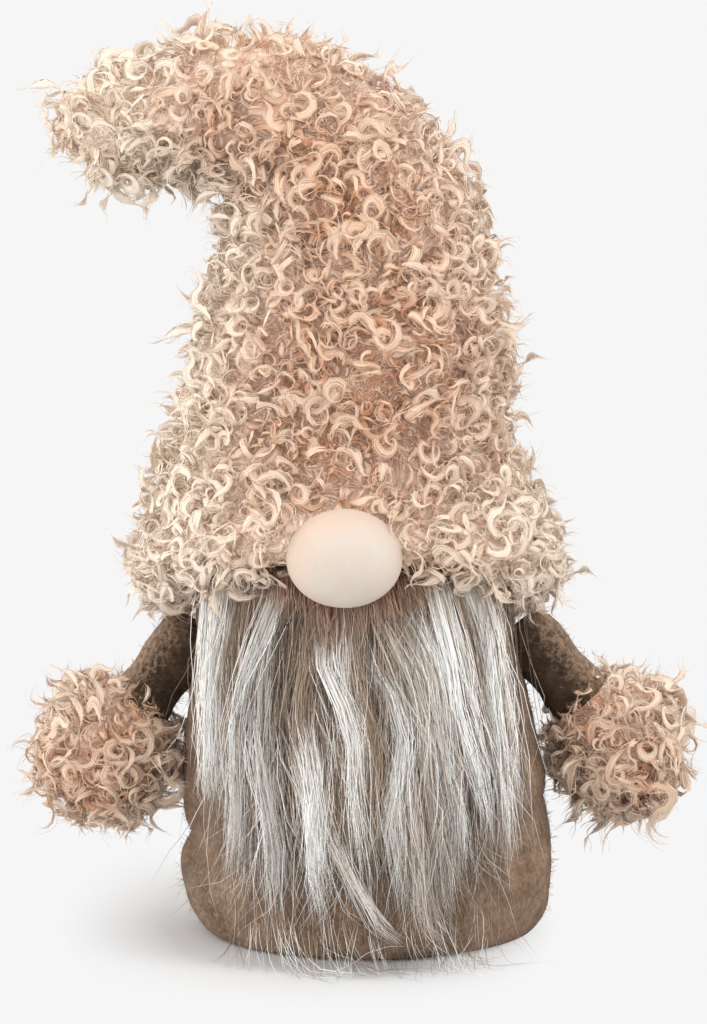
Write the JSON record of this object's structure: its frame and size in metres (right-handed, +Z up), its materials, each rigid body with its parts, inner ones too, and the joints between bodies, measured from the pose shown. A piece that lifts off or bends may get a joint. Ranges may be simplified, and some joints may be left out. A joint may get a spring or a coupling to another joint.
{
  "type": "christmas elf figurine",
  "caption": "Standing stuffed gnome with a tall curly fur hat whose wired tip bends over, a long fur beard hanging from under its brim, a ball nose, and arms that swing.",
  "frame": {"origin": "middle of the flat felt panel that the figure stands on", "axes": "+Z up, -Y the way the nose and beard face, -X the side that the hat's tip bends to"},
  "size_m": [0.3152, 0.1939, 0.441],
  "materials": {
    "curly_fur": "matte curled pile",
    "beard_fur": "long straight pile",
    "beard_cloth": "matte",
    "brown_felt": "matte",
    "nose_jersey": "matte",
    "fibre_filling": "matte",
    "board": "matte",
    "pellet_bag": "matte",
    "wire": "satin",
    "thread": "matte"
  },
  "bodies": {
    "torso": {"base_board": "board", "base_panel": "brown_felt", "beard_heading": "beard_fur", "body_cover": "brown_felt", "body_filling": "fibre_filling", "hat_crown": "curly_fur", "hat_filling": "fibre_filling", "hat_wire": "wire", "left_shoulder_thread": "thread", "nose_cover": "nose_jersey", "nose_filling": "fibre_filling", "nose_thread": "thread", "right_shoulder_thread": "thread", "weight_bag": "pellet_bag"},
    "bent_tip": {"hat_tip": "curly_fur", "hat_tip_filling": "fibre_filling", "hat_wire_tip": "wire"},
    "beard_flap": {"beard_backing": "beard_cloth", "beard_pile": "beard_fur"},
    "left_arm": {"left_mitten": "curly_fur", "left_mitten_filling": "fibre_filling", "left_sleeve": "brown_felt", "left_sleeve_filling": "fibre_filling"},
    "right_arm": {"right_mitten": "curly_fur", "right_mitten_filling": "fibre_filling", "right_sleeve": "brown_felt", "right_sleeve_filling": "fibre_filling"}
  },
  "joints": [
    {"name": "hat_tip_bend", "type": "hinge", "parent": "torso", "child": "bent_tip", "pos_m": [-0.045, 0, 0.396], "axis": [0, 1, 0], "range_deg": [-6, 70]},
    {"name": "left_shoulder", "type": "hinge", "parent": "torso", "child": "left_arm", "pos_m": [-0.09023, 0, 0.14], "axis": [-1, 0, 0], "range_deg": [-35, 70]},
    {"name": "right_shoulder", "type": "hinge", "parent": "torso", "child": "right_arm", "pos_m": [0.07944, 0, 0.14], "axis": [-1, 0, 0], "range_deg": [-35, 70]},
    {"name": "beard_lift", "type": "hinge", "parent": "torso", "child": "beard_flap", "pos_m": [0, -0.06656, 0.168], "axis": [-1, 0, 0], "range_deg": [0, 25]}
  ]
}
